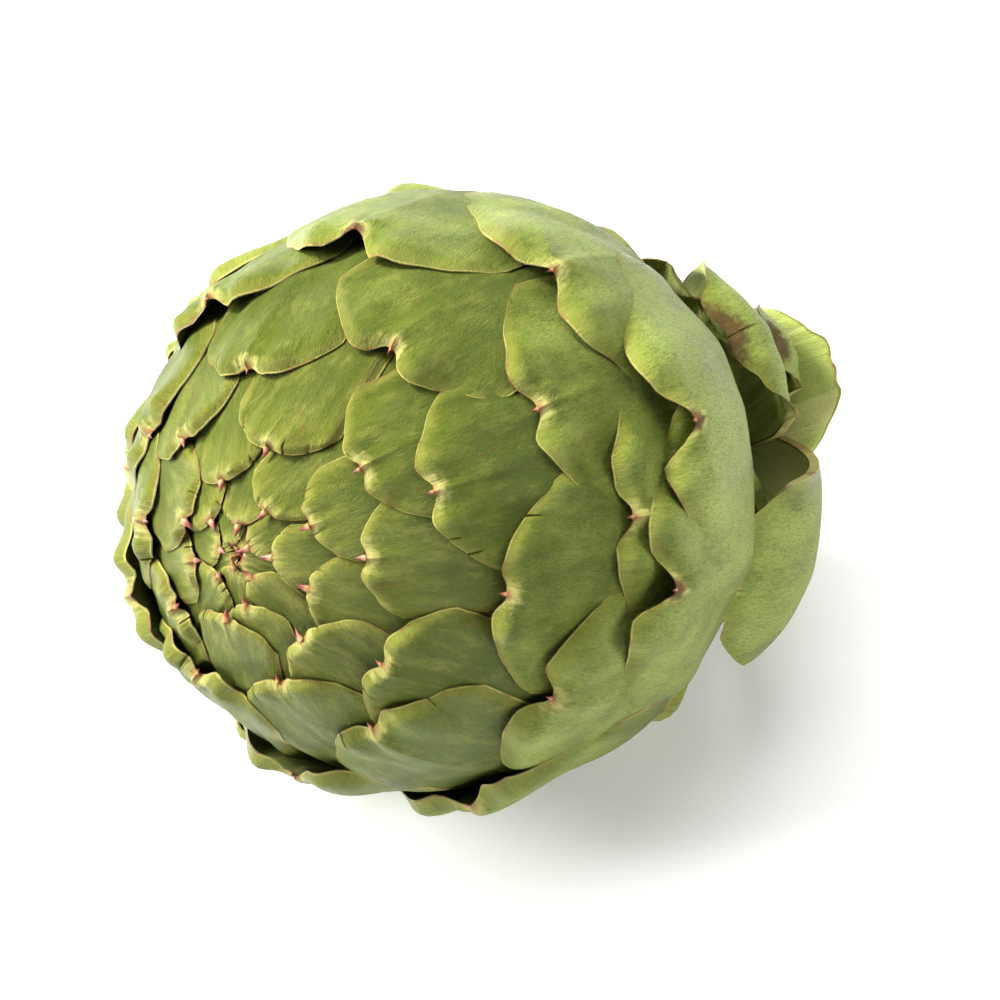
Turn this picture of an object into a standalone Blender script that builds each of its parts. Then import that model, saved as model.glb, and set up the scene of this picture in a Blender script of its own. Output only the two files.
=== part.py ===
"""Globe artichoke lying on its side, as cut: a bud of overlapping bracts on a short stem.

Units are metres, +Z is up and the origin is on the ground under the middle of the part.
The bud is modelled upright around its own axis and then laid down: its tip points to -X
and rises from the ground, and its cut stem slants down to the ground at +X.
"""
import bmesh
import bpy
import numpy as np
from mathutils import Matrix, Vector

MM = 0.001

# ---- driving dimensions ---------------------------------------------------------------
HEAD_RADIUS = 48 * MM          # bud radius at its widest
TIP_STRETCH = 1.2              # height of the tip half over the radius
BASE_STRETCH = 0.9             # height of the stem half over the radius
LEAN = np.radians(30.8)        # angle of the bud's axis over the ground
BUD_CENTRE = Vector((-3.99, -1.14, 46.8)) * MM    # bud centre once its flat spot is pressed in
BRACT_COUNT = 65               # spiral bracts, counted from the tip
GOLDEN_TURN = 137.74           # degrees from one bract to the next
FIRST_TURN = 232.5             # longitude of the first bract, from the underside
WIDTH_IN_CELLS = 1.85          # bract width over the side of its patch of the bud
YOUNG_SPREAD = 0.15            # how much wider the youngest ones are
COVER_DROP = 0.15 * MM         # how far a bract sinks for each later bract in the spiral
PROUD = 1.4 * MM               # bract tips over the bud's mean surface
CORE_RADIUS = 48 * MM          # packed core that the bracts stand out of
ROOT_STEPS = 26                # a bract runs under the next 26 of the spiral
LAST_SPINE = 54                # older bracts have lost their spines
BLADE_MID = 4.0 * MM           # bract thickness along its fleshy middle
BLADE_RIM = 0.8 * MM           # and at its edge
SIDE_TUCK = 0.7 * MM           # its sides dip into the neighbours that they lie on
NECK_RADIUS = 14 * MM          # receptacle that carries the lowest bracts
NECK_END = 50 * MM             # distance of its end from the bud's centre
STEM_GAP = 0.3 * MM
STEM_RADIUS = 11.5 * MM
STEM_RIBS = 9
STEM_RIB_DEPTH = 0.5 * MM

# Bracts that grew out of line: index -> (turn in degrees, slide towards the stem in mm).
OUT_OF_LINE = {12: (9, 2), 14: (9, -2), 16: (-4, -4), 17: (9, 0), 20: (10, 1), 22: (11, -1),
               23: (-9, 0), 24: (-9, -4), 27: (0, -5), 28: (6, 0), 29: (-4, -4), 30: (9, -2),
               31: (-7, 0), 32: (-4, -7), 33: (8, 0), 36: (-6, 3), 38: (15, -1), 39: (-1, -3),
               43: (7, -4), 44: (-5, -4), 46: (18, -12), 47: (4, 4), 49: (-8, -16), 51: (-8, 6),
               52: (3, 12), 54: (-18, 7)}

# Bracts that stand open at their tips: index -> lift in mm.
OPEN_TIPS = {32: 1.2, 34: 1.6, 35: 1.5, 37: 1, 39: 2.5, 40: 0.6, 42: 1, 43: 1.2, 44: 1.5, 45: 1, 46: 3,
             47: 0.3, 48: 1.5, 49: 3, 51: 1, 52: 2, 54: 1.2, 55: 0.9, 59: 1, 60: 0.8}

# Loose bracts at the base. Each leaves the neck and follows an arc in its own plane: its
# longitude, where it starts along the neck, its first and last heading in degrees (0 is
# straight out, 90 is towards the tip), its length, width, cupping and notch.
LOOSE_BRACTS = {
    "curled": dict(turn=149, start=45, first=-35, last=92, length=42, width=36, cup=2.5, notch=1.5),
    "splayed": dict(turn=136, start=47, first=-22, last=-4, length=30.5, width=30, cup=1.5, notch=0),
    "scarred": dict(turn=145, start=47, first=-42, last=62, length=36, width=17, cup=2, notch=1),
    "wrapping": dict(turn=97, start=45, first=-38, last=127, length=66, width=35, cup=1, notch=1.5)}


# ---- the bud's mean surface -----------------------------------------------------------
def profile(polar):
    """Distance from the axis and height of the surface at a polar parameter."""
    rise = np.where(polar < np.pi / 2, TIP_STRETCH, BASE_STRETCH) * HEAD_RADIUS
    return HEAD_RADIUS * np.sin(polar), rise * np.cos(polar)


def arc_table():
    """Polar parameter against the distance from the tip along the surface."""
    polar = np.linspace(0, np.pi, 361)
    radius, height = profile(polar)
    steps = np.hypot(np.diff(radius), np.diff(height))
    return polar, np.concatenate([[0], np.cumsum(steps)])


POLAR, ARC = arc_table()


def surface_point(polar, longitude, height):
    """A point at a height over the surface, along the surface's own normal."""
    radius, axial = profile(polar)
    rise = np.where(polar < np.pi / 2, TIP_STRETCH, BASE_STRETCH)
    across, along = rise * np.sin(polar), np.cos(polar)
    norm = np.hypot(across, along)
    radius = radius + height * across / norm
    axial = axial + height * along / norm
    return np.stack([radius * np.cos(longitude), radius * np.sin(longitude), axial], -1)


# ---- the spiral -----------------------------------------------------------------------
def tip_arc(index):
    """Distance from the bud's tip to the tip of a bract; the steps grow down the bud."""
    t = index / 50.0
    return HEAD_RADIUS * (0.03 + 0.62 * t + 0.35 * t ** 2 + 0.83 * t ** 3)


def cell_size(index):
    """Side of the patch of surface that falls to one bract."""
    step = tip_arc(index + 0.5) - tip_arc(index - 0.5)
    radius, _ = profile(np.interp(tip_arc(index), ARC, POLAR))
    return np.sqrt(2 * np.pi * max(radius, 2 * MM) * step)


def bract_frame(index):
    """Arc distance and longitude of a bract's tip, with what grew out of line."""
    turn, slide = OUT_OF_LINE.get(index, (0, 0))
    arc = max(tip_arc(index) + slide * MM, 1.5 * MM)
    return arc, np.radians(FIRST_TURN + GOLDEN_TURN * index + turn)


def bract_shape(index):
    """Width, length, notch depth and tip lift of a bract, from its age in the spiral."""
    cell = cell_size(index)
    width = WIDTH_IN_CELLS * cell * (1 + YOUNG_SPREAD * max(0, 1 - index / 22))
    arc = bract_frame(index)[0]
    last = min(tip_arc(index + ROOT_STEPS), 3.06 * HEAD_RADIUS)
    rng = np.random.default_rng(index)
    lift = OPEN_TIPS.get(index, rng.uniform(0.3, 1.0) if index < 45 else rng.uniform(1.5, 2.5))
    return dict(width=width, length=max(last - arc, 0.9 * cell), notch=0.16 * cell,
                lift=lift * MM * min(1, cell / (12 * MM)), cell=cell)


# ---- blades ---------------------------------------------------------------------------
def sloped_edge(across, width, notch):
    """How far the tip edge of a bract on the bud drops back: a notch and straight shoulders."""
    ramp = np.hypot(np.abs(across) - 0.34, 0.10) + np.abs(across) - 0.34
    return notch * np.exp(-(across / 0.15) ** 2) + 0.5 * width * (0.30 * ramp + 0.14 * np.abs(across) ** 8)


def round_edge(across, width, notch):
    """The same for a loose bract: a notch in an ellipse's end."""
    return notch * np.exp(-(across / 0.12) ** 2) + 0.42 * width * (1 - np.sqrt(1 - 0.92 * across ** 2))


def blade_grid(columns, rows, width, length, edge):
    """Across and back coordinates of a bract, and each row's place along it."""
    across, along = np.meshgrid(np.array(columns), np.array(rows))
    back = edge(across) * (1 - along) ** 2 + along * length
    half = 0.5 * width * (0.93 + 0.25 * along - 0.62 * along ** 2)
    return across, along, across * half, back


def lobe_relief(across, back, cell):
    """Puffed lobes on either side of a pinched middle that rises to the spine."""
    near_tip = np.exp(-(back / (0.42 * cell)) ** 2)
    lobes = 0.055 * cell * np.sin(np.pi * np.clip(np.abs(across), 0, 1)) ** 2
    ridge = 0.05 * cell * np.exp(-(across / 0.13) ** 2)
    roll = -0.05 * cell * np.exp(-back / (0.06 * cell))
    return (lobes + ridge) * near_tip + roll


def spiral_bract(index):
    """Upper and lower skins of a bract that lies on the bud."""
    shape = bract_shape(index)
    arc, longitude = bract_frame(index)
    cell = shape["cell"]
    if index < 18:
        columns, rows = [-1, -0.5, 0, 0.5, 1], [0, 0.2, 1]
    elif index < 34:
        columns, rows = [-1, -0.5, 0, 0.5, 1], [0, 0.15, 0.45, 1]
    else:
        columns, rows = [-1, -0.62, -0.25, 0, 0.25, 0.62, 1], [0, 0.12, 0.35, 0.65, 1]
    across, along, side, back = blade_grid(
        columns, rows, shape["width"], shape["length"],
        lambda across: sloped_edge(across, shape["width"], shape["notch"]))
    polar = np.interp(arc + back, ARC, POLAR)
    swing = side / HEAD_RADIUS
    direction = np.stack([np.sin(polar) * np.cos(swing), np.sin(swing),
                          np.cos(polar) * np.cos(swing)], -1)
    polar = np.arccos(np.clip(direction[..., 2], -1, 1))
    turn = longitude + np.arctan2(direction[..., 1], direction[..., 0])
    order = np.arange(0, BRACT_COUNT + ROOT_STEPS + 20)
    covered = np.interp(arc + back, tip_arc(order), order) - index
    reach = np.hypot(side, back - shape["notch"])
    opening = shape["lift"] * np.clip(1 - reach / (0.9 * cell), 0, 1) ** 2
    height = PROUD - COVER_DROP * covered + opening + lobe_relief(across, back, cell)
    height = height - SIDE_TUCK * np.abs(across) ** 6 * np.minimum(1, 4 * along)
    thick = BLADE_RIM + (BLADE_MID - BLADE_RIM) * (1 - 0.4 * across ** 2) * np.minimum(1, 4 * along)
    return surface_point(polar, turn, height), surface_point(polar, turn, height - thick)


def loose_bract(turn, start, first, last, length, width, cup, notch):
    """Upper and lower skins of a bract that leaves the neck and stands clear of the bud."""
    width, length = width * MM, length * MM
    columns, rows = [-1, -0.66, -0.3, 0, 0.3, 0.66, 1], [0, 0.08, 0.22, 0.4, 0.6, 0.8, 1]
    across, along, side, back = blade_grid(columns, rows, width, length,
                                           lambda across: round_edge(across, width, notch * MM))
    run = length - back
    first, bend = np.radians(first), np.radians(last - first) / length
    heading = first + bend * run
    radius = NECK_RADIUS - 2 * MM + (np.sin(heading) - np.sin(first)) / bend
    axial = -start * MM - (np.cos(heading) - np.cos(first)) / bend
    swing = side / np.maximum(radius, 0.6 * width)
    outer = 0.5 * lobe_relief(across, back, 22 * MM)
    outer -= cup * MM * across ** 2 * np.sin(np.pi * along) ** 0.5
    thick = 1.5 * MM - 0.5 * MM * across ** 2
    skins = []
    for level in (outer, outer - thick):
        reach = radius + level * np.sin(heading)
        depth = axial - level * np.cos(heading)
        longitude = np.radians(turn) + swing
        skins.append(np.stack([reach * np.cos(longitude), reach * np.sin(longitude), depth], -1))
    return skins


def blade_object(name, upper, lower, collection):
    """A closed blade: both skins split into triangles alike, and a wall round the rim."""
    rows, columns = upper.shape[:2]
    grid = np.arange(rows * columns).reshape(rows, columns)
    a, b, c, d = grid[:-1, :-1], grid[:-1, 1:], grid[1:, 1:], grid[1:, :-1]
    skin = np.concatenate([np.stack([a, b, c], -1).reshape(-1, 3),
                           np.stack([a, c, d], -1).reshape(-1, 3)])
    rim = np.concatenate([grid[0, :-1], grid[:-1, -1], grid[-1, :0:-1], grid[:0:-1, 0]])
    after = np.roll(rim, -1)
    under = rows * columns
    wall = np.concatenate([np.stack([rim, rim + under, after + under], -1),
                           np.stack([rim, after + under, after], -1)])
    faces = np.concatenate([skin, skin[:, ::-1] + under, wall])
    mesh = bpy.data.meshes.new(name)
    points = np.concatenate([upper.reshape(-1, 3), lower.reshape(-1, 3)])
    mesh.from_pydata(points.tolist(), [], faces.tolist())
    return finish_closed(mesh, name, collection)


def finish_closed(mesh, name, collection):
    """Turn a closed mesh's faces outwards and put it in a collection."""
    cage = bmesh.new()
    cage.from_mesh(mesh)
    bmesh.ops.recalc_face_normals(cage, faces=cage.faces)
    cage.to_mesh(mesh)
    cage.free()
    piece = bpy.data.objects.new(name, mesh)
    collection.objects.link(piece)
    return piece


def spine(upper, lower, size, collection, name):
    """A three-sided thorn that leaves the notch in line with the blade."""
    middle = upper.shape[1] // 2
    root = Vector((upper[0, middle] + lower[0, middle]) / 2)
    behind = Vector((upper[1, middle] + lower[1, middle]) / 2)
    line = (root - behind).normalized()
    cage = bmesh.new()
    bmesh.ops.create_cone(cage, segments=3, radius1=0.4 * size, radius2=0,
                          depth=size * 1.5, cap_ends=True)
    turn = line.to_track_quat('Z', 'Y').to_matrix().to_4x4()
    place = Matrix.Translation(root + line * 0.35 * size) @ turn
    bmesh.ops.transform(cage, matrix=place, verts=cage.verts)
    mesh = bpy.data.meshes.new(name)
    cage.to_mesh(mesh)
    cage.free()
    return finish_closed(mesh, name, collection)


# ---- core, neck and stem --------------------------------------------------------------
def turned(name, radii, heights, collection, sides=28):
    """A closed turned body: a profile from its top to its bottom on +X, screwed round Z."""
    mesh = bpy.data.meshes.new(name)
    points = [(float(r), 0.0, float(z)) for r, z in zip(radii, heights)]
    mesh.from_pydata(points, [(i, i + 1) for i in range(len(points) - 1)], [])
    body = bpy.data.objects.new(name, mesh)
    collection.objects.link(body)
    screw = body.modifiers.new("turn", 'SCREW')
    screw.steps = sides
    screw.render_steps = sides
    screw.use_merge_vertices = True
    screw.merge_threshold = 0.00001
    return body


def core_body(collection):
    """The packed inside of the bud with the neck that carries the lowest bracts."""
    polar = np.linspace(0, np.radians(158), 13)
    radius, height = profile(polar)
    shrink = CORE_RADIUS / HEAD_RADIUS
    radius, height = radius * shrink, height * shrink
    height[0] -= 2.2 * MM
    radii = list(radius) + [NECK_RADIUS, NECK_RADIUS - 1 * MM, 0]
    heights = list(height) + [-BASE_STRETCH * HEAD_RADIUS, -NECK_END, -NECK_END]
    return turned("core", radii, heights, collection)


def stem_body(name, collection):
    """The cut stem: a ribbed stub that widens a little to the neck and ends in a cut."""
    end = (BUD_CENTRE.z - STEM_RADIUS * np.cos(LEAN)) / np.sin(LEAN) - 0.3 * MM
    levels = np.array([NECK_END + STEM_GAP, NECK_END + 3 * MM, NECK_END + 9 * MM, end - 0.8 * MM, end])
    swell = np.array([1.06, 1.0, 0.95, 1.0, 0.94])
    longitude = np.linspace(0, 2 * np.pi, 4 * STEM_RIBS, endpoint=False)
    cage = bmesh.new()
    rings = []
    for level, wide in zip(levels, swell):
        radius = wide * (STEM_RADIUS - STEM_RIB_DEPTH * (1 - np.cos(STEM_RIBS * longitude)) / 2)
        rings.append([cage.verts.new((r * np.cos(t), r * np.sin(t), -level))
                      for r, t in zip(radius, longitude)])
    for upper, lower in zip(rings, rings[1:]):
        for i in range(len(upper)):
            j = (i + 1) % len(upper)
            cage.faces.new((upper[i], lower[i], lower[j], upper[j]))
    cage.faces.new(rings[0])
    cage.faces.new(rings[-1][::-1])
    mesh = bpy.data.meshes.new(name)
    cage.to_mesh(mesh)
    cage.free()
    return finish_closed(mesh, name, collection)


# ---- joining and placing --------------------------------------------------------------
def apply_modifiers(piece):
    """Replace a piece's mesh by its evaluated one and drop the modifiers."""
    evaluated = piece.evaluated_get(bpy.context.evaluated_depsgraph_get())
    mesh = bpy.data.meshes.new_from_object(evaluated)
    piece.modifiers.clear()
    piece.data = mesh


def keep_largest_body(piece):
    """Fill sealed hollows and drop scraps: only the connected skin that spans most stays."""
    cage = bmesh.new()
    cage.from_mesh(piece.data)
    bmesh.ops.triangulate(cage, faces=cage.faces)
    islands, seen = [], set()
    for seed in cage.verts:
        if seed in seen:
            continue
        island, todo = [], [seed]
        seen.add(seed)
        while todo:
            vert = todo.pop()
            island.append(vert)
            for edge in vert.link_edges:
                other = edge.other_vert(vert)
                if other not in seen:
                    seen.add(other)
                    todo.append(other)
        islands.append(island)
    islands.sort(key=len)
    for island in islands[:-1]:
        bmesh.ops.delete(cage, geom=island, context='VERTS')
    cage.to_mesh(piece.data)
    cage.free()


def laid_down():
    """The move from the upright bud to the bud on its side, tip towards -X."""
    down = Vector((-np.sin(LEAN), 0, -np.cos(LEAN)))
    axis = Vector((-np.cos(LEAN), 0, np.sin(LEAN)))
    side = axis.cross(down)
    turn = Matrix((down, side, axis)).transposed().to_4x4()
    return Matrix.Translation(BUD_CENTRE) @ turn


def press_flat(piece, guides):
    """The flat spot that the bud rests on: whatever reaches under the ground is cut off."""
    cage = bmesh.new()
    bmesh.ops.create_cube(cage, size=1)
    bmesh.ops.scale(cage, vec=(0.3, 0.3, 0.04), verts=cage.verts)
    bmesh.ops.translate(cage, vec=(0, 0, -0.02), verts=cage.verts)
    mesh = bpy.data.meshes.new("ground")
    cage.to_mesh(mesh)
    cage.free()
    ground = bpy.data.objects.new("ground", mesh)
    ground.hide_render = True
    ground.display_type = 'WIRE'
    guides.objects.link(ground)
    cut = piece.modifiers.new("flat_spot", 'BOOLEAN')
    cut.operation = 'DIFFERENCE'
    cut.object = ground
    cut.solver = 'EXACT'
    apply_modifiers(piece)


def material(name, colour, roughness):
    """A plain Principled material."""
    look = bpy.data.materials.new(name)
    look.use_nodes = True
    shader = look.node_tree.nodes["Principled BSDF"]
    shader.inputs["Base Color"].default_value = (*colour, 1)
    shader.inputs["Roughness"].default_value = roughness
    shader.inputs["Metallic"].default_value = 0
    return look


def build_head(collection, guides):
    """Core, spiral bracts, spines and loose bracts, joined into one body."""
    repeats = bpy.data.collections.new("repeats")
    bpy.context.scene.collection.children.link(repeats)
    for index in range(BRACT_COUNT):
        upper, lower = spiral_bract(index)
        blade_object(f"bract_{index}", upper, lower, repeats)
        if index <= LAST_SPINE:
            size = min(3.2 * MM, 1.2 * MM + 0.1 * cell_size(index))
            spine(upper, lower, size, repeats, f"spine_{index}")
    for name, shape in LOOSE_BRACTS.items():
        upper, lower = loose_bract(**shape)
        blade_object(f"{name}_bract", upper, lower, repeats)
    head = core_body(collection)
    apply_modifiers(head)
    join = head.modifiers.new("join", 'BOOLEAN')
    join.operation = 'UNION'
    join.operand_type = 'COLLECTION'
    join.collection = repeats
    join.solver = 'MANIFOLD'    # EXACT leaves a few open edges among the thin blades
    apply_modifiers(head)
    for piece in list(repeats.objects):
        bpy.data.objects.remove(piece)
    bpy.data.collections.remove(repeats)
    head.data.transform(laid_down())
    press_flat(head, guides)
    keep_largest_body(head)
    head.name = head.data.name = "head"
    return head


def main():
    for old in list(bpy.data.objects):
        bpy.data.objects.remove(old)
    parts = bpy.data.collections.new("artichoke")
    guides = bpy.data.collections.new("guides")
    for collection in (parts, guides):
        bpy.context.scene.collection.children.link(collection)
    head = build_head(parts, guides)
    head.data.materials.append(material("bract_green", (0.25, 0.36, 0.10), 0.5))
    stem = stem_body("stem", parts)
    stem.data.transform(laid_down())
    stem.data.materials.append(material("stem_green", (0.42, 0.50, 0.22), 0.6))


main()
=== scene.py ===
import math

import bpy
import numpy as np
from mathutils import Matrix, Vector


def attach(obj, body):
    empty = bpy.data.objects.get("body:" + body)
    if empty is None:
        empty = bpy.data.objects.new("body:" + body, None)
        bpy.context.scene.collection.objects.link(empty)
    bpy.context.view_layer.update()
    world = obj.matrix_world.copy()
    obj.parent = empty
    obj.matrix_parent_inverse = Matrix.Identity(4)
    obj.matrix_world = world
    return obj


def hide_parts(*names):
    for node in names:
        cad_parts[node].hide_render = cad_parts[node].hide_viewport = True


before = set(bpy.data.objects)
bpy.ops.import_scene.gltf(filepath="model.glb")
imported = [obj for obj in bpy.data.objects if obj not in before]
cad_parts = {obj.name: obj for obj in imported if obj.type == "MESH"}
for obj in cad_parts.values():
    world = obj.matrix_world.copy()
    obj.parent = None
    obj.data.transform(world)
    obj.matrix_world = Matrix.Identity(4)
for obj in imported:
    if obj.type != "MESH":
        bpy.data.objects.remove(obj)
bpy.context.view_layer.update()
mm = 0.001

# the bud's own shape, with the same driving sizes as the solids it dresses
bud = dict(radius=48 * mm, tipStretch=1.2, baseStretch=0.9, lean=math.radians(30.8),
           centre=Vector((-3.99, -1.14, 46.8)) * mm, count=65, goldenTurn=137.74, firstTurn=232.5,
           coverDrop=0.15 * mm, proud=1.4 * mm, rootSteps=26, neckRadius=14 * mm, neckEnd=50 * mm,
           widthInCells=1.85, youngSpread=0.15, youngUntil=22, lastRoot=3.06)

# bracts that grew out of line: index -> (turn in degrees, slide towards the stem in mm);
# most of these values came out of a fit by a solver and were not chosen by hand
outOfLine = {12: (9, 2), 14: (9, -2), 16: (-4, -4), 17: (9, 0), 20: (10, 1), 22: (11, -1),
             23: (-9, 0), 24: (-9, -4), 27: (0, -5), 28: (6, 0), 29: (-4, -4), 30: (9, -2),
             31: (-7, 0), 32: (-4, -7), 33: (8, 0), 36: (-6, 3), 38: (15, -1), 39: (-1, -3),
             43: (7, -4), 44: (-5, -4), 46: (18, -12), 47: (4, 4), 49: (-8, -16), 51: (-8, 6),
             52: (3, 12), 54: (-18, 7)}

# bracts that stand open at their tips: index -> lift in mm
openTips = {32: 1.2, 34: 1.6, 35: 1.5, 37: 1, 39: 2.5, 40: 0.6, 42: 1, 43: 1.2, 44: 1.5, 45: 1,
            46: 3, 47: 0.3, 48: 1.5, 49: 3, 51: 1, 52: 2, 54: 1.2, 55: 0.9, 59: 1, 60: 0.8}

# bracts that bulge more than their neighbours, or lie lower: index -> rise in mm
swollen = {47: -1.2, 52: -0.5, 57: 1.0, 49: 0.5}


def layDown(points):
    # from the upright bud's axes to the part's: x runs down, z along the bud's axis to its tip
    s, c = math.sin(bud["lean"]), math.cos(bud["lean"])
    turn = np.array([[-s, 0, -c], [0, -1, 0], [-c, 0, s]])
    laid = points @ turn + np.array(bud["centre"])
    laid[:, 2] = np.maximum(laid[:, 2], 0.2 * mm)  # flattened where it lies on the ground
    return laid


def budProfile(polar):
    # an ellipse's quarter above the middle and a flatter one below: r = R sin p, z = k R cos p
    stretch = np.where(polar < np.pi / 2, bud["tipStretch"], bud["baseStretch"])
    return bud["radius"] * np.sin(polar), stretch * bud["radius"] * np.cos(polar), stretch


polarTable = np.linspace(0, np.pi, 721)
tableR, tableZ, tableK = budProfile(polarTable)
arcTable = np.concatenate([[0], np.cumsum(np.hypot(np.diff(tableR), np.diff(tableZ)))])


def budPoint(polar, longitude, height):
    # the profile's point, moved out by height along the profile's normal (k sin p, cos p)
    radius, axial, stretch = budProfile(polar)
    nr, nz = stretch * np.sin(polar), np.cos(polar)
    norm = np.hypot(nr, nz)
    radius, axial = radius + height * nr / norm, axial + height * nz / norm
    return np.stack([radius * np.cos(longitude), radius * np.sin(longitude), axial], -1)


def tipArc(index):
    # distance of a bract's tip from the bud's tip: a cubic in its place in the spiral
    t = index / 50
    return bud["radius"] * (0.03 + 0.62 * t + 0.35 * t ** 2 + 0.83 * t ** 3)


def cellSize(index):
    # side of the patch of skin that falls to one bract: ring length times step, rooted
    step = tipArc(index + 0.5) - tipArc(index - 0.5)
    ring = 2 * math.pi * max(float(np.interp(tipArc(index), arcTable, tableR)), 2 * mm)
    return math.sqrt(ring * step)


def bractSizes(index):
    cell = cellSize(index)
    turn, slide = outOfLine.get(index, (0, 0))
    arc = max(tipArc(index) + slide * mm, 0.6 * mm)
    last = min(tipArc(index + bud["rootSteps"]), bud["lastRoot"] * bud["radius"])
    rng = np.random.default_rng(abs(index))
    lift = openTips.get(index, rng.uniform(0.3, 1.0) if index < 45 else rng.uniform(1.5, 2.5))
    spread = 1 + bud["youngSpread"] * max(0, 1 - index / bud["youngUntil"])
    # the youngest end in a point, the older ones in a notch
    notch = cell * float(np.interp(index, [0, 24], [-0.12, 0.15]))
    return dict(cell=cell, arc=arc, width=bud["widthInCells"] * cell * spread,
                longitude=math.radians(bud["firstTurn"] + bud["goldenTurn"] * index + turn),
                length=max(last - arc, 0.9 * cell), notch=notch,
                lift=lift * mm * min(1, cell / (12 * mm)), rise=swollen.get(index, 0) * mm)


blade = dict(columns=43, rows=40, rowCrowd=1.7, rim=0.24 * mm, body=1.4 * mm, rimFade=2.0 * mm,
             clear=0.24 * mm, seed=40, cracks=4, crackMouth=0.22 * mm, nose=0.07, noseCell=14 * mm,
             stand=0.035, wrinkle=0.07 * mm)


def waves(rng, x, count, lowest):
    # a sum of cosines of rising frequency and falling weight with drawn phases
    total = np.zeros_like(x)
    for k in range(count):
        total += rng.normal() / (k + 1) * np.cos((lowest + k) * np.pi * x + rng.uniform(0, 2 * np.pi))
    return total


def bladeColumns(count, cracks, half):
    # even columns, with more at the nose and round each crack so that its lips are sharp
    columns = [np.linspace(-1, 1, count), np.array([-0.065, -0.03, -0.012, 0.012, 0.03, 0.065])]
    for place, _ in cracks:
        columns.append(place + blade["crackMouth"] / half * np.array([-1.1, -0.6, 0, 0.6, 1.1]))
    columns = np.sort(np.concatenate(columns))
    return columns[(columns >= -1) & (columns <= 1)]


def drawCracks(rng, cell, age):
    # short splits in the tip edge, more of them on the tight young bracts
    cracks = []
    for _ in range(blade["cracks"]):
        place = rng.choice([-1, 1]) * rng.uniform(0.14, 0.72)
        depth = rng.uniform(0.03, 0.12 - 0.06 * age) * cell
        if rng.uniform() < 0.85 - 1.5 * age and all(abs(place - other[0]) > 0.12 for other in cracks):
            cracks.append((place, depth))
    return cracks


def edgeDrop(across, width, notch):
    # a notch (gaussian), straight shoulders that a soft ramp starts beside it, and round corners
    ramp = np.hypot(np.abs(across) - 0.34, 0.10) + np.abs(across) - 0.34
    return notch * np.exp(-(across / 0.15) ** 2) + 0.5 * width * (0.30 * ramp + 0.14 * np.abs(across) ** 8)


def roundDrop(across, width, notch):
    # a notch and an ellipse's shoulders, for the loose bracts
    return notch * np.exp(-(across / 0.12) ** 2) + 0.42 * width * (1 - np.sqrt(1 - 0.92 * across ** 2))


def bladeGrid(rng, columns, rows, cracks, width, length, notch, cell, shoulders=edgeDrop):
    # tip edge = shoulders + lean of one lobe + waves + nose + cracks; rows crowd to the edge
    across, t = np.meshgrid(columns, np.linspace(0, 1, rows))
    along = t ** blade["rowCrowd"]
    off = 1 - np.exp(-(across / 0.12) ** 2)
    edge = shoulders(across, width, notch) + np.clip(rng.normal(0, 0.045), -0.08, 0.08) * cell * across * off
    edge += 0.012 * cell * waves(rng, across, 7, 3) * off
    nose = min(blade["nose"] * min(cell, blade["noseCell"]), 0.6 * notch + 0.3 * mm)
    edge -= nose * np.exp(-np.abs(across) / 0.04)
    half = 0.5 * width * (0.93 + 0.25 * along - 0.62 * along ** 2)
    rimward = np.ones_like(across)
    for place, depth in cracks:
        wedge = np.clip(1 - np.abs(across - place) * 0.5 * width / blade["crackMouth"], 0, 1)
        edge += depth * wedge
        rimward = np.minimum(rimward, 1 - wedge * np.exp(-along * length / (0.5 * depth)))
    back = edge * (1 - along) ** 3 + along * length
    half = half * (1 + 0.02 * waves(rng, along, 4, 2))
    return across, along, across * half, back, half, rimward


# heights as shares of a bract's cell
relief = dict(lobe=0.10, lobeCell=20 * mm, ridge=0.055, crest=0.035, pinch=-0.08, folds=0.010, gape=0.06,
              bend=0.011, lip=0.010, dent=0.014)


def lobeRelief(rng, across, side, back, cell, tipBack):
    # puffed lobes beside a pinched middle that rises to the spine, and folds that fan out from it
    nearTip = np.exp(-(back / (0.42 * cell)) ** 2)
    lobes = relief["lobe"] * min(cell, relief["lobeCell"])
    lobes = lobes * np.sin(np.pi * np.clip(1.5 * np.abs(across), 0, 1)) ** 2
    lobes *= 1 + 0.5 * rng.normal() * across
    ridge = relief["ridge"] * cell * np.exp(-(np.abs(across) / 0.17) ** 1.4)
    ridge = ridge * np.exp(-(back / (0.8 * cell)) ** 2)
    crest = relief["crest"] * min(cell, blade["noseCell"]) * np.exp(-(across / 0.04) ** 2)
    crest = crest * np.exp(-back / (0.28 * cell))
    pinch = relief["pinch"] * cell * np.exp(-((np.abs(across) - 0.17) / 0.09) ** 2)
    pinch = pinch * np.exp(-back / (0.20 * cell))
    reach, bearing = np.hypot(side, back - tipBack), np.arctan2(side, back - tipBack + 0.3 * mm) / np.pi
    folds = relief["folds"] * cell * waves(rng, bearing, 6, 5) * np.exp(-(reach / (0.45 * cell)) ** 2)
    folds *= 1 - np.exp(-(reach / (0.08 * cell)) ** 2)
    gape = rng.uniform(0, relief["gape"]) * cell
    gape = gape * np.exp(-((across - rng.choice([-1, 1]) * 0.2) / 0.12) ** 2)
    return lobes * nearTip + ridge + crest + pinch + folds + gape * np.exp(-back / (0.2 * cell))


def crinkle(rng, across, back, fromEdge, cell):
    # fine folds that fan from root to edge, stronger at the edge, and a buckled lip
    fan = waves(rng, across, 9, 5) * blade["wrinkle"] * (0.5 + np.exp(-fromEdge / (0.2 * cell)))
    fan += relief["bend"] * cell * waves(rng, across, 4, 2) * (1 - np.exp(-back / (0.35 * cell)))
    lip = relief["lip"] * cell * waves(rng, across, 5, 3) * np.exp(-fromEdge / (0.10 * cell))
    dent = relief["dent"] * cell * waves(rng, back / cell + 0.6 * across, 3, 1)
    return fan + lip + dent


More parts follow.
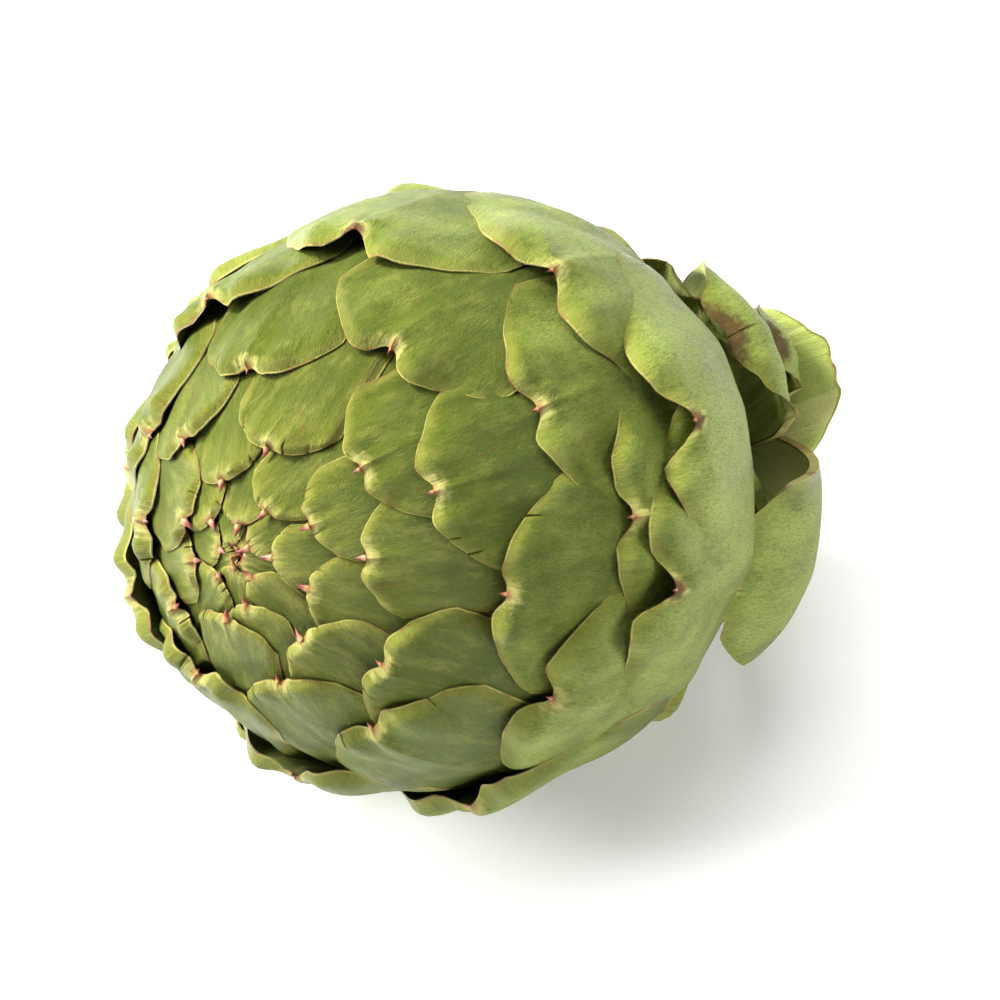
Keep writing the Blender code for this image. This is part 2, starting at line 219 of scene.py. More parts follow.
layer = dict(arcStep=0.8 * mm, turns=360, floor=-1.9 * mm)
covering = np.full((int(arcTable[-1] / layer["arcStep"]) + 2, layer["turns"]), layer["floor"])


def between(grid, r0, c0, r1, c1, fr, fc):
    # a value read between four grid points, fr and fc of the way along rows and columns
    return ((grid[r0, c0] * (1 - fc) + grid[r0, c1] * fc) * (1 - fr)
            + (grid[r1, c0] * (1 - fc) + grid[r1, c1] * fc) * fr)


def skinBelow(arc, turn):
    # height of the highest bract laid so far, read between the four nearest cells
    row, column = arc / layer["arcStep"], np.mod(turn / (2 * np.pi), 1) * layer["turns"]
    r0, c0 = np.clip(row.astype(int), 0, len(covering) - 2), column.astype(int) % layer["turns"]
    fr, fc, c1 = np.clip(row - r0, 0, 1), column - np.floor(column), (c0 + 1) % layer["turns"]
    return between(covering, r0, c0, r0 + 1, c1, fr, fc)


def layOver(arc, turn, height):
    # every cell under a bract takes its height; the grid is read four times as finely both ways
    rows, columns = arc.shape
    r, c = np.meshgrid(np.linspace(0, rows - 1.001, 4 * rows),
                       np.linspace(0, columns - 1.001, 4 * columns), indexing="ij")
    r0, c0 = r.astype(int), c.astype(int)
    fine = [between(a, r0, c0, r0 + 1, c0 + 1, r - r0, c - c0) for a in (arc, turn, height)]
    row = np.clip(np.rint(fine[0] / layer["arcStep"]).astype(int), 0, len(covering) - 1)
    column = np.rint(np.mod(fine[1] / (2 * np.pi), 1) * layer["turns"]).astype(int) % layer["turns"]
    np.maximum.at(covering, (row, column), fine[2])


def spiralBract(index, columnCount, rowCount):
    size = bractSizes(index)
    cell, age, lift = size["cell"], max(index, 0) / bud["count"], size["lift"]
    rng = np.random.default_rng(blade["seed"] + index)
    cracks = drawCracks(rng, cell, age)
    columns = bladeColumns(columnCount, cracks, 0.5 * size["width"])
    notch = size["notch"] * rng.uniform(0.6, 1.35)
    across, along, side, back, half, rimward = bladeGrid(
        rng, columns, rowCount, cracks, size["width"], size["length"], notch, cell)
    tipBack = back[0].min() if notch < 0 else back[0, np.argmin(np.abs(columns))]
    fromEdge = along * size["length"]
    polar = np.interp(size["arc"] + back, arcTable, polarTable)
    swing = side / bud["radius"]
    way = np.stack([np.sin(polar) * np.cos(swing), np.sin(swing), np.cos(polar) * np.cos(swing)], -1)
    polar = np.arccos(np.clip(way[..., 2], -1, 1))
    spread = np.arctan2(way[..., 1], way[..., 0])
    turn, arc = size["longitude"] + spread, np.interp(polar, polarTable, arcTable)
    order = np.arange(0, bud["count"] + bud["rootSteps"] + 20)
    covered = np.interp(size["arc"] + back, tipArc(order), order) - index
    reach = np.hypot(side, back - tipBack)
    opening = (lift + blade["stand"] * cell) * np.clip(1 - reach / (0.9 * cell), 0, 1) ** 2
    height = bud["proud"] - bud["coverDrop"] * covered + opening + size["rise"]
    height += lobeRelief(rng, across, side, back, cell, tipBack) + crinkle(rng, across, back, fromEdge, cell)
    # the edges hug whatever lies below them, apart from the lips of the bracts that stand open
    below = skinBelow(arc, turn) + blade["clear"]
    sideDist = (1 - np.abs(across)) * half
    closed = 1 - min(1, lift / (2.4 * mm)) * np.exp(-(reach / (0.4 * cell)) ** 2)
    hug = np.maximum(np.exp(-(sideDist / (0.05 * cell + 0.5 * mm)) ** 2) * closed,
                     np.exp(-(fromEdge / (0.03 * cell + 0.35 * mm)) ** 2) * np.clip(closed - 0.3, 0, 0.65))
    height = np.maximum(height, below - 0.1 * mm)
    height = height * (1 - hug) + np.minimum(below, height) * hug
    height -= 0.045 * cell * np.exp(-fromEdge / (0.06 * cell)) * (1 - hug)
    layOver(arc, turn, height)
    inward = np.minimum(fromEdge, sideDist + 0.2 * mm)
    thick = blade["rim"] + (blade["body"] - blade["rim"]) * (1 - np.exp(-inward / blade["rimFade"]))
    thick = thick * min(1, 0.35 + cell / (20 * mm))
    upper, lower = budPoint(polar, turn, height), budPoint(polar, turn, height - thick)
    rim = np.minimum(fromEdge, sideDist) * rimward
    scar = np.exp(-(reach / (2.2 * mm)) ** 2) * min(1, max(0, lift / mm - 0.9))
    return bladeParts(columns, cell, upper, lower, side, back, rim, reach, age, rng.uniform(), scar)


def bladeParts(columns, cell, upper, lower, side, back, rim, tip, age, chance, scar):
    # both skins as one closed grid body, with what its finish reads in millimetres
    rows, count = side.shape
    grid = np.arange(side.size).reshape(rows, count)
    quads = np.stack([grid[:-1, :-1], grid[1:, :-1], grid[1:, 1:], grid[:-1, 1:]], -1).reshape(-1, 4)
    border = np.concatenate([grid[0, :-1], grid[:-1, -1], grid[-1, :0:-1], grid[:0:-1, 0]])
    after, under = np.roll(border, -1), side.size
    wall = np.stack([border, after, after + under, border + under], -1)
    faces = np.concatenate([quads, quads[:, ::-1] + under, wall])
    points = np.concatenate([upper.reshape(-1, 3), lower.reshape(-1, 3)])
    both = lambda a: np.tile(np.broadcast_to(a, side.shape).ravel(), 2)
    inner = np.repeat([0.0, 1.0], side.size)
    return dict(points=points, faces=faces, rim=both(rim) / mm, tip=both(tip) / mm, age=both(age),
                chance=both(chance), inner=inner, scar=both(scar), side=both(side) / mm,
                back=both(back) / mm, depth=both(back / cell), skins=(upper, lower),
                middle=np.argmin(np.abs(columns)))


def joinParts(parts):
    # several bodies' arrays end to end, with their faces' numbers moved on
    starts = np.cumsum([0] + [len(p["points"]) for p in parts[:-1]])
    joined = {k: np.concatenate([p[k] for p in parts]) for k in
              ("points", "rim", "tip", "age", "chance", "inner", "scar", "side", "back", "depth")}
    joined["faces"] = np.concatenate([p["faces"] + s for p, s in zip(parts, starts)])
    return joined


def makeMesh(name, points, faces, values=None, uv=None, sharp=50):
    # quads straight from the arrays, values as point attributes, uv per corner
    mesh = bpy.data.meshes.new(name)
    sides = faces.shape[1]
    mesh.vertices.add(len(points))
    mesh.vertices.foreach_set("co", layDown(points).astype(np.float32).ravel())
    mesh.loops.add(faces.size)
    mesh.loops.foreach_set("vertex_index", faces.astype(np.int32).ravel())
    mesh.polygons.add(len(faces))
    mesh.polygons.foreach_set("loop_start", np.arange(0, faces.size, sides, dtype=np.int32))
    mesh.update(calc_edges=True)
    for key, value in (values or {}).items():
        held = mesh.attributes.new(key, 'FLOAT', 'POINT')
        held.data.foreach_set("value", value.astype(np.float32))
    if uv is not None:
        held = mesh.uv_layers.new(name="leaf")
        held.data.foreach_set("uv", uv[faces.ravel()].astype(np.float32).ravel())
    mesh.shade_smooth()
    mesh.set_sharp_from_angle(angle=math.radians(sharp))
    piece = bpy.data.objects.new(name, mesh)
    bpy.context.scene.collection.objects.link(piece)
    return piece


def makeBlades(name, parts):
    whole = joinParts(parts)
    # one unit is 10 mm, and each bract starts at a drawn place of its own
    uv = np.stack([whole["side"] / 10 + 3.1 * whole["chance"],
                   whole["back"] / 10 + 7.3 * whole["chance"]], -1)
    values = {k: whole[k] for k in ("rim", "tip", "age", "chance", "inner", "scar", "depth")}
    return makeMesh(name, whole["points"], whole["faces"], values, uv)


# turns and headings in degrees, 0 straight out and 90 towards the tip; lengths in mm
looseBracts = {
    "curled": dict(turn=149, start=45, first=-35, last=88, length=45, width=34,
                   cup=2.5, notch=1.5, scar=0.95, curl=80),
    "splayed": dict(turn=136, start=47, first=-22, last=-4, length=30.5, width=30,
                    cup=1.5, notch=0, scar=0, curl=0),
    "scarred": dict(turn=145, start=47, first=-42, last=62, length=38, width=17,
                    cup=2, notch=1, scar=1.3, curl=60),
    "wrapping": dict(turn=97, start=45, first=-38, last=127, length=66, width=35,
                     cup=1, notch=1.5, scar=0.2, curl=0)}
loose = dict(cell=22 * mm, curlLength=11 * mm, body=1.6 * mm, relief=0.3, crinkle=0.5, age=0.9,
             columns=57, rows=64, sunk=2 * mm)


def looseBract(name, order):
    # the middle line's heading turns evenly from first to last, and by curl more near the tip
    s = looseBracts[name]
    width, length, notch, cell = s["width"] * mm, s["length"] * mm, s["notch"] * mm, loose["cell"]
    rng = np.random.default_rng(blade["seed"] + 100 + order)
    cracks = [(0.05, 3 * mm)] if name == "curled" else []
    columns = bladeColumns(loose["columns"], cracks, 0.5 * width)
    across, along, side, back, half, rimward = bladeGrid(
        rng, columns, loose["rows"], cracks, width, length, notch, cell, roundDrop)
    fromEdge = along * length
    run = np.linspace(0, length, 400)
    late = np.clip((run - length + loose["curlLength"]) / loose["curlLength"], 0, 1)
    course = np.radians(s["first"] + (s["last"] - s["first"]) * run / length + s["curl"] * late ** 1.3)
    step = run[1]
    outward = bud["neckRadius"] - loose["sunk"] + step * np.cumsum(np.cos(course))
    upward = -s["start"] * mm + step * np.cumsum(np.sin(course))
    heading, radius, axial = (np.interp(length - back, run, table) for table in (course, outward, upward))
    longitude = math.radians(s["turn"]) + side / np.maximum(radius, 0.6 * width)
    tipBack = back[0, np.argmin(np.abs(columns))]
    outer = loose["relief"] * lobeRelief(rng, across, side, back, cell, tipBack)
    outer = outer + loose["crinkle"] * crinkle(rng, across, back, fromEdge, cell)
    outer -= s["cup"] * mm * across ** 2 * np.sin(np.pi * along) ** 0.5
    thick = blade["rim"] + (loose["body"] - blade["rim"]) * (1 - np.exp(-fromEdge / blade["rimFade"]))
    skins = []
    for level in (outer, outer - thick):
        reach, depth = radius + level * np.sin(heading), axial - level * np.cos(heading)
        skins.append(np.stack([reach * np.cos(longitude), reach * np.sin(longitude), depth], -1))
    rim = np.minimum(fromEdge, (1 - np.abs(across)) * half) * rimward
    tip = np.hypot(side, back - tipBack)
    scar = s["scar"] * np.exp(-(fromEdge / (4.5 * mm)) ** 2 - ((across - 0.1) / 0.55) ** 2)
    return bladeParts(columns, cell, skins[0], skins[1], side, back, rim, tip, loose["age"],
                      rng.uniform(), scar)


# a spine's length goes from young on a small bract to old on a large one
thorn = dict(sides=9, rings=9, lastIndex=51, broad=0.34, young=1.5 * mm, old=0.8 * mm,
             cells=(9 * mm, 16 * mm), sunk=-0.35)


def thornParts(part, cell, seed):
    # circles that shrink along a line that bows out a little: r = r0 (1 - t)^0.8
    rng = np.random.default_rng(seed)
    upper, lower = part["skins"]
    middle = part["middle"]
    root, behind = (upper[0, middle] + lower[0, middle]) / 2, (upper[5, middle] + lower[5, middle]) / 2
    line = (root - behind) / np.linalg.norm(root - behind)
    out = upper[3, middle] - lower[3, middle]
    out = out / np.linalg.norm(out)
    cross = np.cross(line, out)
    size = float(np.interp(cell, thorn["cells"], (thorn["young"], thorn["old"]))) * rng.uniform(0.8, 1.2)
    t, a = np.meshgrid(np.linspace(thorn["sunk"], 1, thorn["rings"]),
                       np.linspace(0, 2 * np.pi, thorn["sides"], endpoint=False), indexing="ij")
    radius = thorn["broad"] * size * np.clip(1 - np.clip(t, 0, 1), 0.02, 1) ** 0.8
    bow = rng.uniform(-0.05, 0.25) * size * t ** 2
    sway = rng.uniform(-0.2, 0.2) * size * t ** 2
    points = (root + line * (size * t)[..., None]
              + out * (bow + radius * np.sin(a) * 0.8)[..., None]
              + cross * (sway + radius * np.cos(a))[..., None])
    grid = np.arange(points.shape[0] * points.shape[1]).reshape(points.shape[:2])
    nextOne = np.roll(grid, -1, 1)
    faces = np.stack([grid[:-1], nextOne[:-1], nextOne[1:], grid[1:]], -1).reshape(-1, 4)
    ends = []
    for ring, centre in ((grid[0][::-1], grid.size), (grid[-1], grid.size + 1)):
        after = np.roll(ring, -1)
        ends.append(np.stack([ring, after, np.full_like(ring, centre), np.full_like(ring, centre)], -1))
    caps = np.stack([points[0].mean(0), points[-1].mean(0)])
    return dict(points=np.concatenate([points.reshape(-1, 3), caps]), faces=faces, caps=np.concatenate(ends),
                along=np.concatenate([t.ravel(), [thorn["sunk"], 1]]))


def makeThorns(name, thorns):
    # the ring quads, and the end fans as triangles
    starts = np.cumsum([0] + [len(p["points"]) for p in thorns[:-1]])
    points = np.concatenate([p["points"] for p in thorns])
    quads = np.concatenate([p["faces"] + s for p, s in zip(thorns, starts)])
    fans = np.concatenate([p["caps"][:, :3] + s for p, s in zip(thorns, starts)])
    triangles = np.concatenate([quads[:, [0, 1, 2]], quads[:, [0, 2, 3]], fans])
    values = {"along": np.concatenate([p["along"] for p in thorns])}
    return makeMesh(name, points, triangles, values, sharp=80)


stem = dict(radius=11.5 * mm, gap=0.3 * mm, ribs=9, ribDepth=0.5 * mm, sides=180, rings=70, fine=0.10 * mm)


def revolve(radii, heights, sides):
    # a profile from top to bottom turned round the axis; both ends lie on the axis
    turn = np.linspace(0, 2 * np.pi, sides, endpoint=False)
    points = np.stack([np.outer(radii, np.cos(turn)), np.outer(radii, np.sin(turn)),
                       np.repeat(heights[:, None], sides, 1)], -1)
    return points, gridFaces(len(radii), sides)


def gridFaces(rings, sides):
    grid = np.arange(rings * sides).reshape(rings, sides)
    after = np.roll(grid, -1, 1)
    return np.stack([grid[:-1], grid[1:], after[1:], after[:-1]], -1).reshape(-1, 4)


def makeCore():
    # the inside of the bud, in place of the imported head, sunk under the bracts, down to the neck
    polar = np.linspace(0.02, math.radians(159), 60)
    points = budPoint(polar, 0.0, np.full_like(polar, -1.9 * mm))
    radii, heights = points[:, 0], points[:, 2]
    heights[0] = heights[1] = heights[2] - 0.5 * mm
    neck = np.array([[14.6, -42.6], [14.2, -44.5], [13.9, -47], [13.4, -49.2], [12.9, -49.95],
                     [12.3, -50]]) * mm
    radii = np.concatenate([[0.01 * mm], radii, neck[:, 0], [0.01 * mm]])
    heights = np.concatenate([[heights[0]], heights, neck[:, 1], [-50 * mm]])
    points, faces = revolve(radii, heights, 72)
    return makeMesh("packedCore", points.reshape(-1, 3), faces)


def makeStem():
    # ribs round the stalk: r = R swell(z) - ribs, with fine fibres, a rolled rim and a dished cut
    end = (bud["centre"].z - stem["radius"] * math.cos(bud["lean"])) / math.sin(bud["lean"]) - 0.3 * mm
    top = bud["neckEnd"] + stem["gap"]
    rng = np.random.default_rng(7)
    turn = np.linspace(0, 2 * np.pi, stem["sides"], endpoint=False)
    level = np.linspace(top, end, stem["rings"])
    swell = np.interp(level, [top, top + 3 * mm, top + 9 * mm, end - 0.8 * mm, end],
                      [1.06, 1.0, 0.95, 1.0, 0.94])
    swell = np.convolve(np.pad(swell, 3, mode="edge"), np.ones(7) / 7, mode="valid")
    groove = 0.5 - 0.5 * np.cos(stem["ribs"] * turn)
    fibre = stem["fine"] * waves(rng, turn / np.pi, 14, 11)
    bumps = 0.06 * mm * waves(rng, level / (4 * mm), 5, 1)
    ribbed = stem["radius"] - stem["ribDepth"] * groove[None] + fibre[None] * 0.4
    radii = swell[:, None] * ribbed + bumps[:, None]
    radii = np.minimum(radii, stem["radius"] * 1.06)
    cutSteps = np.linspace(0.97, 0.001, 26)
    topSteps = np.linspace(0.001, 0.97, 6)
    cutHeights = -end + 0.7 * mm * (1 - cutSteps ** 2) ** 0.6
    allRadii = np.concatenate([radii[0] * topSteps[:, None], radii, radii[-1] * cutSteps[:, None]])
    allHeights = np.repeat(np.concatenate([np.full(6, -top), -level, cutHeights])[:, None], stem["sides"], 1)
    points = np.stack([allRadii * np.cos(turn), allRadii * np.sin(turn), allHeights], -1)
    cut = np.concatenate([np.zeros(6 + len(radii)), 1 - cutSteps])
    values = {"cut": np.repeat(cut, stem["sides"]), "turn": np.tile(turn, len(allRadii))}
    faces = gridFaces(len(allRadii), stem["sides"])
    return makeMesh("cutStem", points.reshape(-1, 3), faces, values, sharp=60)


class Signal:  # a socket that can be reckoned with: each operator adds a Math node
    def __init__(self, tree, socket):
        self.tree, self.socket = tree, socket

    def math(self, kind, first, second=None):
        node = self.tree.nodes.new("ShaderNodeMath")
        node.operation = kind
        for slot, value in enumerate((first, second)):
            if isinstance(value, Signal):
                self.tree.links.new(value.socket, node.inputs[slot])
            elif value is not None:
                node.inputs[slot].default_value = value
        return Signal(self.tree, node.outputs[0])

    def __add__(self, other): return self.math('ADD', self, other)
    def __radd__(self, other): return self.math('ADD', other, self)
    def __sub__(self, other): return self.math('SUBTRACT', self, other)
    def __rsub__(self, other): return self.math('SUBTRACT', other, self)
    def __mul__(self, other): return self.math('MULTIPLY', self, other)
    def __rmul__(self, other): return self.math('MULTIPLY', other, self)
    def __truediv__(self, other): return self.math('DIVIDE', self, other)
    def __pow__(self, other): return self.math('POWER', self, other)


class Finish:  # a material and the few ways that its nodes are added
    def __init__(self, name, roughness=0.5, specular=0.5):
        self.material = bpy.data.materials.new(name)
        self.material.use_nodes = True
        self.tree = self.material.node_tree
        self.shader = self.tree.nodes["Principled BSDF"]
        self.shader.inputs["Roughness"].default_value = roughness
        self.shader.inputs["Specular IOR Level"].default_value = specular

    def node(self, kind, settings=None, inputs=None, output=0):
        node = self.tree.nodes.new(kind)
        for key, value in (settings or {}).items():
            if key == "stops":
                ramp = node.color_ramp
                while len(ramp.elements) < len(value):
                    ramp.elements.new(0.5)
                for element, (place, colour) in zip(ramp.elements, value):
                    element.position, element.color = place, (*colour, 1)
            else:
                setattr(node, key, value)
        for key, value in (inputs or {}).items():
            if isinstance(value, Signal):
                self.tree.links.new(value.socket, node.inputs[key])
            elif isinstance(value, tuple) and len(value) == 3 and node.inputs[key].type == 'RGBA':
                node.inputs[key].default_value = (*value, 1)
            else:
                node.inputs[key].default_value = value
        return Signal(self.tree, node.outputs[output])

    def value(self, name):
        return self.node("ShaderNodeAttribute", dict(attribute_name=name), output=2)

    def fade(self, signal, low, high):
        # smooth step from 0 at low to 1 at high
        return self.node("ShaderNodeMapRange", dict(interpolation_type='SMOOTHSTEP'),
                         {"Value": signal, "From Min": low, "From Max": high})

    def noise(self, vector, scale, detail=3, roughness=0.5):
        return self.node("ShaderNodeTexNoise", None, {"Vector": vector, "Scale": scale, "Detail": detail,
                                                      "Roughness": roughness})

    def stretch(self, vector, scale):
        return self.node("ShaderNodeMapping", None, {"Vector": vector, "Scale": scale})

    def blend(self, factor, first, second):
        return self.node("ShaderNodeMix", dict(data_type='RGBA'), {0: factor, 6: first, 7: second}, output=2)

    def feed(self, name, signal):
        self.tree.links.new(signal.socket, self.shader.inputs[name])

    def bump(self, height, strength, distance):
        normal = self.node("ShaderNodeBump", None,
                           {"Height": height, "Strength": strength, "Distance": distance})
        self.feed("Normal", normal)


# deep is the dark olive of streaks and grain, and also the painted shade at each bract's covered root
leafLook = dict(heart=(0.135, 0.153, 0.016), middle=(0.084, 0.112, 0.005), old=(0.220, 0.275, 0.040),
                deep=(0.047, 0.066, 0.004), bloom=(0.370, 0.450, 0.115), warm=(0.330, 0.310, 0.060),
                cream=(0.600, 0.550, 0.200), margin=(0.500, 0.430, 0.120), rust=(0.160, 0.050, 0.015),
                flush=(0.240, 0.060, 0.030), scar=(0.092, 0.040, 0.015),
                insidePale=(0.620, 0.630, 0.230), insideRib=(0.430, 0.500, 0.120))


def makeLeafFinish():
    f = Finish("bractSkin", roughness=0.46, specular=0.18)
    uv = f.node("ShaderNodeUVMap", dict(uv_map="leaf"))
    rim, tip, age = f.value("rim"), f.value("tip"), f.value("age")
    chance, inner, scar = f.value("chance"), f.value("inner"), f.value("scar")
    # young bracts are yellower, those in the middle a deep olive
    broad = f.noise(uv, 1.1, 3)
    stage = age + (broad - 0.5) * 0.3 + (chance - 0.5) * 0.12
    skin = f.blend(f.fade(stage, 0.18, 0.45), leafLook["heart"], leafLook["middle"])
    aged = f.fade(stage, 0.48, 0.78)
    skin = f.blend(aged, skin, leafLook["old"])
    # streaks that run from root to edge, darker clouds between them, and a darker root half, partly the
    # skin's own deeper green where it lies covered and partly painted shade from the bracts that overlap it
    streak = f.noise(f.stretch(uv, (13, 1.4, 1)), 1.0, 4, 0.6)
    fine = f.noise(f.stretch(uv, (55, 7, 1)), 1.0, 3, 0.65)
    cloud = f.noise(f.stretch(uv, (2.2, 1.2, 1)), 1.0, 4, 0.6)
    skin = f.blend(f.fade(streak * 0.5 + cloud * 0.5, 0.46, 0.62) * 0.5, skin, leafLook["deep"])
    # painted shade: each bract darkens towards its root, where the bracts above overlap it, mixed with its
    # own darker covered skin
    skin = f.blend(f.fade(f.value("depth") + (streak - 0.5) * 0.5, 0.25, 1.15) * 0.65, skin, leafLook["deep"])
    # grey bloom on the raised middle of a bract, broken into grain
    grain = f.noise(f.stretch(uv, (30, 17, 1)), 1.0, 5, 0.75)
    patch = f.noise(f.stretch(uv, (1.7, 1.0, 1)), 1.0, 3, 0.5)
    dust = f.fade(patch * 0.45 + grain * 0.55, 0.34, 0.60) * f.fade(rim, 0.8, 6.0)
    skin = f.blend(dust * (0.06 + aged * 0.66), skin, leafLook["bloom"])
    skin = f.blend(f.fade(grain, 0.48, 0.66) * (0.05 + aged * 0.20), skin, leafLook["bloom"])
    light = f.noise(f.stretch(uv, (4.0, 1.5, 1)), 1.0, 4, 0.65)
    skin = f.blend(f.fade(light, 0.46, 0.72) * 0.28, skin, leafLook["warm"])
    skin = f.blend(f.fade(fine, 0.48, 0.64) * 0.45, skin, leafLook["deep"])
    # warmer, shinier skin towards the edges and a small pale blush round the spine
    ragged = f.noise(uv, 9.0, 3)
    warm = (1 - f.fade(rim + (ragged - 0.5) * 2.5, 0.2, 3.0)) * 0.3
    skin = f.blend(warm, skin, leafLook["warm"])
    blush = 1 - f.fade(tip + (ragged - 0.5) * 3 + (streak - 0.5) * 4, 0.6, 3.2)
    skin = f.blend(blush * (0.22 + f.fade(age, 0.05, 0.4) * 0.38), skin, leafLook["cream"])
    skin = f.blend((1 - f.fade(rim + (ragged - 0.5) * 0.2, 0.05, 0.24)) * 0.7, skin, leafLook["margin"])
    rusty = (1 - f.fade(rim + (ragged - 0.5) * 0.8, 0.05, 0.40)) * f.fade(patch, 0.50, 0.58)
    skin = f.blend(rusty * 0.6, skin, leafLook["rust"])
    spot = (1 - f.fade(tip + (ragged - 0.5) * 2.0, 0.2, 1.7)) * 0.85
    skin = f.blend(spot, skin, leafLook["flush"])
    # thin brown scratches here and there, and the torn edges of the loose bracts
    wander = f.noise(f.stretch(uv, (1.1, 2.3, 1)), 1.0, 2, 0.4)
    thin = f.node("ShaderNodeMath", dict(operation='ABSOLUTE'), {0: wander - 0.5})
    scratch = (1 - f.fade(thin, 0.0, 0.006)) * f.fade(cloud, 0.55, 0.60)
    skin = f.blend(scratch * 0.6, skin, leafLook["rust"])
    worn = f.fade(scar * (0.45 + ragged), 0.35, 0.75)
    skin = f.blend(worn * 0.85, skin, leafLook["scar"])
    # the inner face is pale, with broad ribs
    ribs = f.noise(f.stretch(uv, (3.2, 0.25, 1)), 1.0, 2, 0.5)
    inside = f.blend(f.fade(ribs, 0.44, 0.58), leafLook["insidePale"], leafLook["insideRib"])
    skin = f.blend(inner * 0.85 * f.fade(rim, 0.2, 0.7), skin, inside)
    f.feed("Base Color", skin)
    f.feed("Roughness", 0.33 + dust * 0.20 + grain * 0.12 + worn * 0.2)
    f.bump(streak * 0.6 + fine * 0.5 + grain * 1.2 + ribs * inner * 4, 1.0, 0.0005)
    return f.material


# colours from a spine's root to its point
thornLook = [(0.0, (0.30, 0.15, 0.05)), (0.25, (0.19, 0.030, 0.020)), (0.7, (0.10, 0.014, 0.010)),
             (1.0, (0.03, 0.008, 0.006))]


def makeThornFinish():
    f = Finish("spineHorn", roughness=0.42)
    f.feed("Base Color", f.node("ShaderNodeValToRGB", dict(stops=thornLook), {"Fac": f.value("along")}))
    return f.material


def makeCoreFinish():
    f = Finish("packedCoreSkin", roughness=0.7)
    place = f.node("ShaderNodeTexCoord", output=3)
    colour = f.blend(f.noise(place, 220, 3), (0.045, 0.075, 0.012), (0.10, 0.14, 0.03))
    f.feed("Base Color", colour)
    return f.material


# rib and groove colours, stains, and the cut face from its rim to its middle
stalkLook = dict(groove=(0.30, 0.38, 0.12), rib=(0.50, 0.56, 0.28), stain=(0.24, 0.18, 0.07),
                 strand=(0.30, 0.20, 0.07),
                 flesh=[(0.0, (0.16, 0.09, 0.03)), (0.12, (0.34, 0.36, 0.12)),
                        (0.3, (0.58, 0.58, 0.30)), (1.0, (0.66, 0.62, 0.40))])


def makeStemFinish():
    f = Finish("stalkSkin", roughness=0.55)
    place = f.node("ShaderNodeTexCoord", output=3)
    cut, turn = f.value("cut"), f.value("turn")
    mottle = f.noise(place, 350, 4, 0.6)
    ribs = f.node("ShaderNodeMath", dict(operation='SINE'), {0: turn * 45 + mottle * 3})
    skin = f.blend(f.fade(ribs, -0.6, 0.9) * 0.6, stalkLook["groove"], stalkLook["rib"])
    skin = f.blend(f.fade(mottle, 0.55, 0.7) * 0.5, skin, stalkLook["stain"])
    flesh = f.node("ShaderNodeValToRGB", dict(stops=stalkLook["flesh"]), {"Fac": cut})
    strand = f.noise(place, 900, 2)
    flesh = f.blend(f.fade(strand, 0.55, 0.65) * 0.6, flesh, stalkLook["strand"])
    f.feed("Base Color", f.blend(f.fade(cut, 0.0, 0.02), skin, flesh))
    f.bump(mottle + ribs * 0.2, 0.5, 0.0003)
    return f.material


print("bracts")
groups = {"innerBracts": range(-4, 26), "middleBracts": range(26, 45), "outerBracts": range(45, 65)}
smallUntil, smallGrid = 14, (25, 22)  # the smallest bracts need fewer columns and rows
dressed, thorns = [], []
leafFinish = makeLeafFinish()
for name, members in groups.items():
    parts = []
    for index in members:
        grid = smallGrid if index < smallUntil else (blade["columns"], blade["rows"])
        part = spiralBract(index, *grid)
        parts.append(part)
        if index <= thorn["lastIndex"]:
            thorns.append(thornParts(part, cellSize(index), 300 + index))
    piece = makeBlades(name, parts)
    piece.data.materials.append(leafFinish)
    dressed.append(piece)

print("loose bracts")
piece = makeBlades("looseBracts", [looseBract(name, i) for i, name in enumerate(looseBracts)])
piece.data.materials.append(leafFinish)
dressed.append(piece)

print("spines")
spines = makeThorns("spines", thorns)
spines.data.materials.append(makeThornFinish())
dressed.append(spines)

print("core and stem")
core = makeCore()
core.data.materials.append(makeCoreFinish())
dressed.append(core)
stalk = makeStem()
stalk.data.materials.append(makeStemFinish())

for piece in dressed:
    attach(piece, "root")
    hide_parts("head")
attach(stalk, "root")
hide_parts("stem")


# floorGlow is a glow of the floor's own, painted light that lightens the bud's cast shadow
studio = dict(elevation=50, heading=220.7, distance=0.7602, lens=170, aimRight=6.75 * mm, aimDown=1.64 * mm,
              lightDistance=1.1, world=0.15, floorGlow=0.12)

# bearing is counted from straight behind the bud, round by its left
softboxes = {"backLeft": dict(bearing=73, rise=46, size=0.30, power=34),
             "left": dict(bearing=102, rise=33, size=0.45, power=14),
             "overhead": dict(bearing=0, rise=78, size=0.7, power=9),
             "right": dict(bearing=255, rise=20, size=0.5, power=8)}


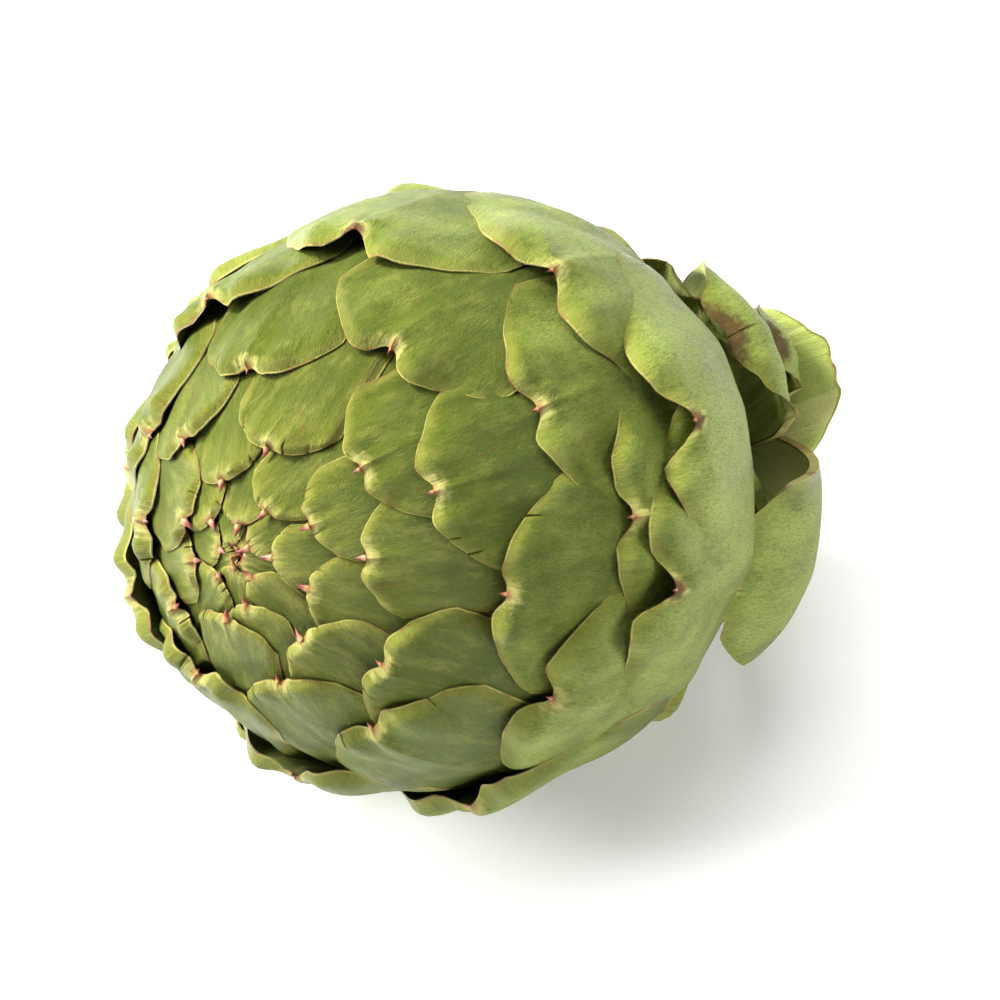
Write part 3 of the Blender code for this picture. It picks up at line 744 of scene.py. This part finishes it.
def makeFloor():
    points = np.array([[-3, -3, 0], [3, -3, 0], [3, 3, 0], [-3, 3, 0]], float)
    mesh = bpy.data.meshes.new("floor")
    mesh.from_pydata(points.tolist(), [], [(0, 1, 2, 3)])
    piece = bpy.data.objects.new("floor", mesh)
    bpy.context.scene.collection.objects.link(piece)
    f = Finish("paleFloor", roughness=0.8, specular=0.1)
    f.shader.inputs["Base Color"].default_value = (0.92, 0.92, 0.92, 1)
    # the floor glows a little of its own: painted light that lightens the bud's shadow on it
    f.shader.inputs["Emission Color"].default_value = (1, 1, 1, 1)
    f.shader.inputs["Emission Strength"].default_value = studio["floorGlow"]
    mesh.materials.append(f.material)


def makeCamera():
    e, h = math.radians(studio["elevation"]), math.radians(studio["heading"])
    back = Vector((math.cos(e) * math.cos(h), math.cos(e) * math.sin(h), math.sin(e)))
    right = Vector((0, 0, 1)).cross(back).normalized()
    up = back.cross(right)
    aim = bud["centre"] + right * studio["aimRight"] - up * studio["aimDown"]
    data = bpy.data.cameras.new("camera")
    data.lens, data.sensor_width, data.clip_start = studio["lens"], 36, 0.01
    camera = bpy.data.objects.new("camera", data)
    bpy.context.scene.collection.objects.link(camera)
    turned = Matrix((right, up, back)).transposed().to_4x4()
    camera.matrix_world = Matrix.Translation(aim + back * studio["distance"]) @ turned
    bpy.context.scene.camera = camera
    return right, Vector((-back.x, -back.y, 0)).normalized()


def makeLights(right, away):
    for name, box in softboxes.items():
        bearing, rise = math.radians(box["bearing"]), math.radians(box["rise"])
        level = away * math.cos(bearing) - right * math.sin(bearing)
        towards = level * math.cos(rise) + Vector((0, 0, math.sin(rise)))
        data = bpy.data.lights.new(name, 'AREA')
        data.size, data.energy = box["size"], box["power"]
        light = bpy.data.objects.new(name, data)
        light.location = bud["centre"] + towards * studio["lightDistance"]
        light.rotation_mode = 'QUATERNION'
        light.rotation_quaternion = towards.to_track_quat('Z', 'Y')
        bpy.context.scene.collection.objects.link(light)
    world = bpy.data.worlds.new("studio")
    world.use_nodes = True
    world.node_tree.nodes["Background"].inputs[0].default_value = (1, 1, 1, 1)
    world.node_tree.nodes["Background"].inputs[1].default_value = studio["world"]
    bpy.context.scene.world = world


print("studio")
makeFloor()
makeLights(*makeCamera())
bpy.context.scene.view_settings.view_transform = 'Standard'
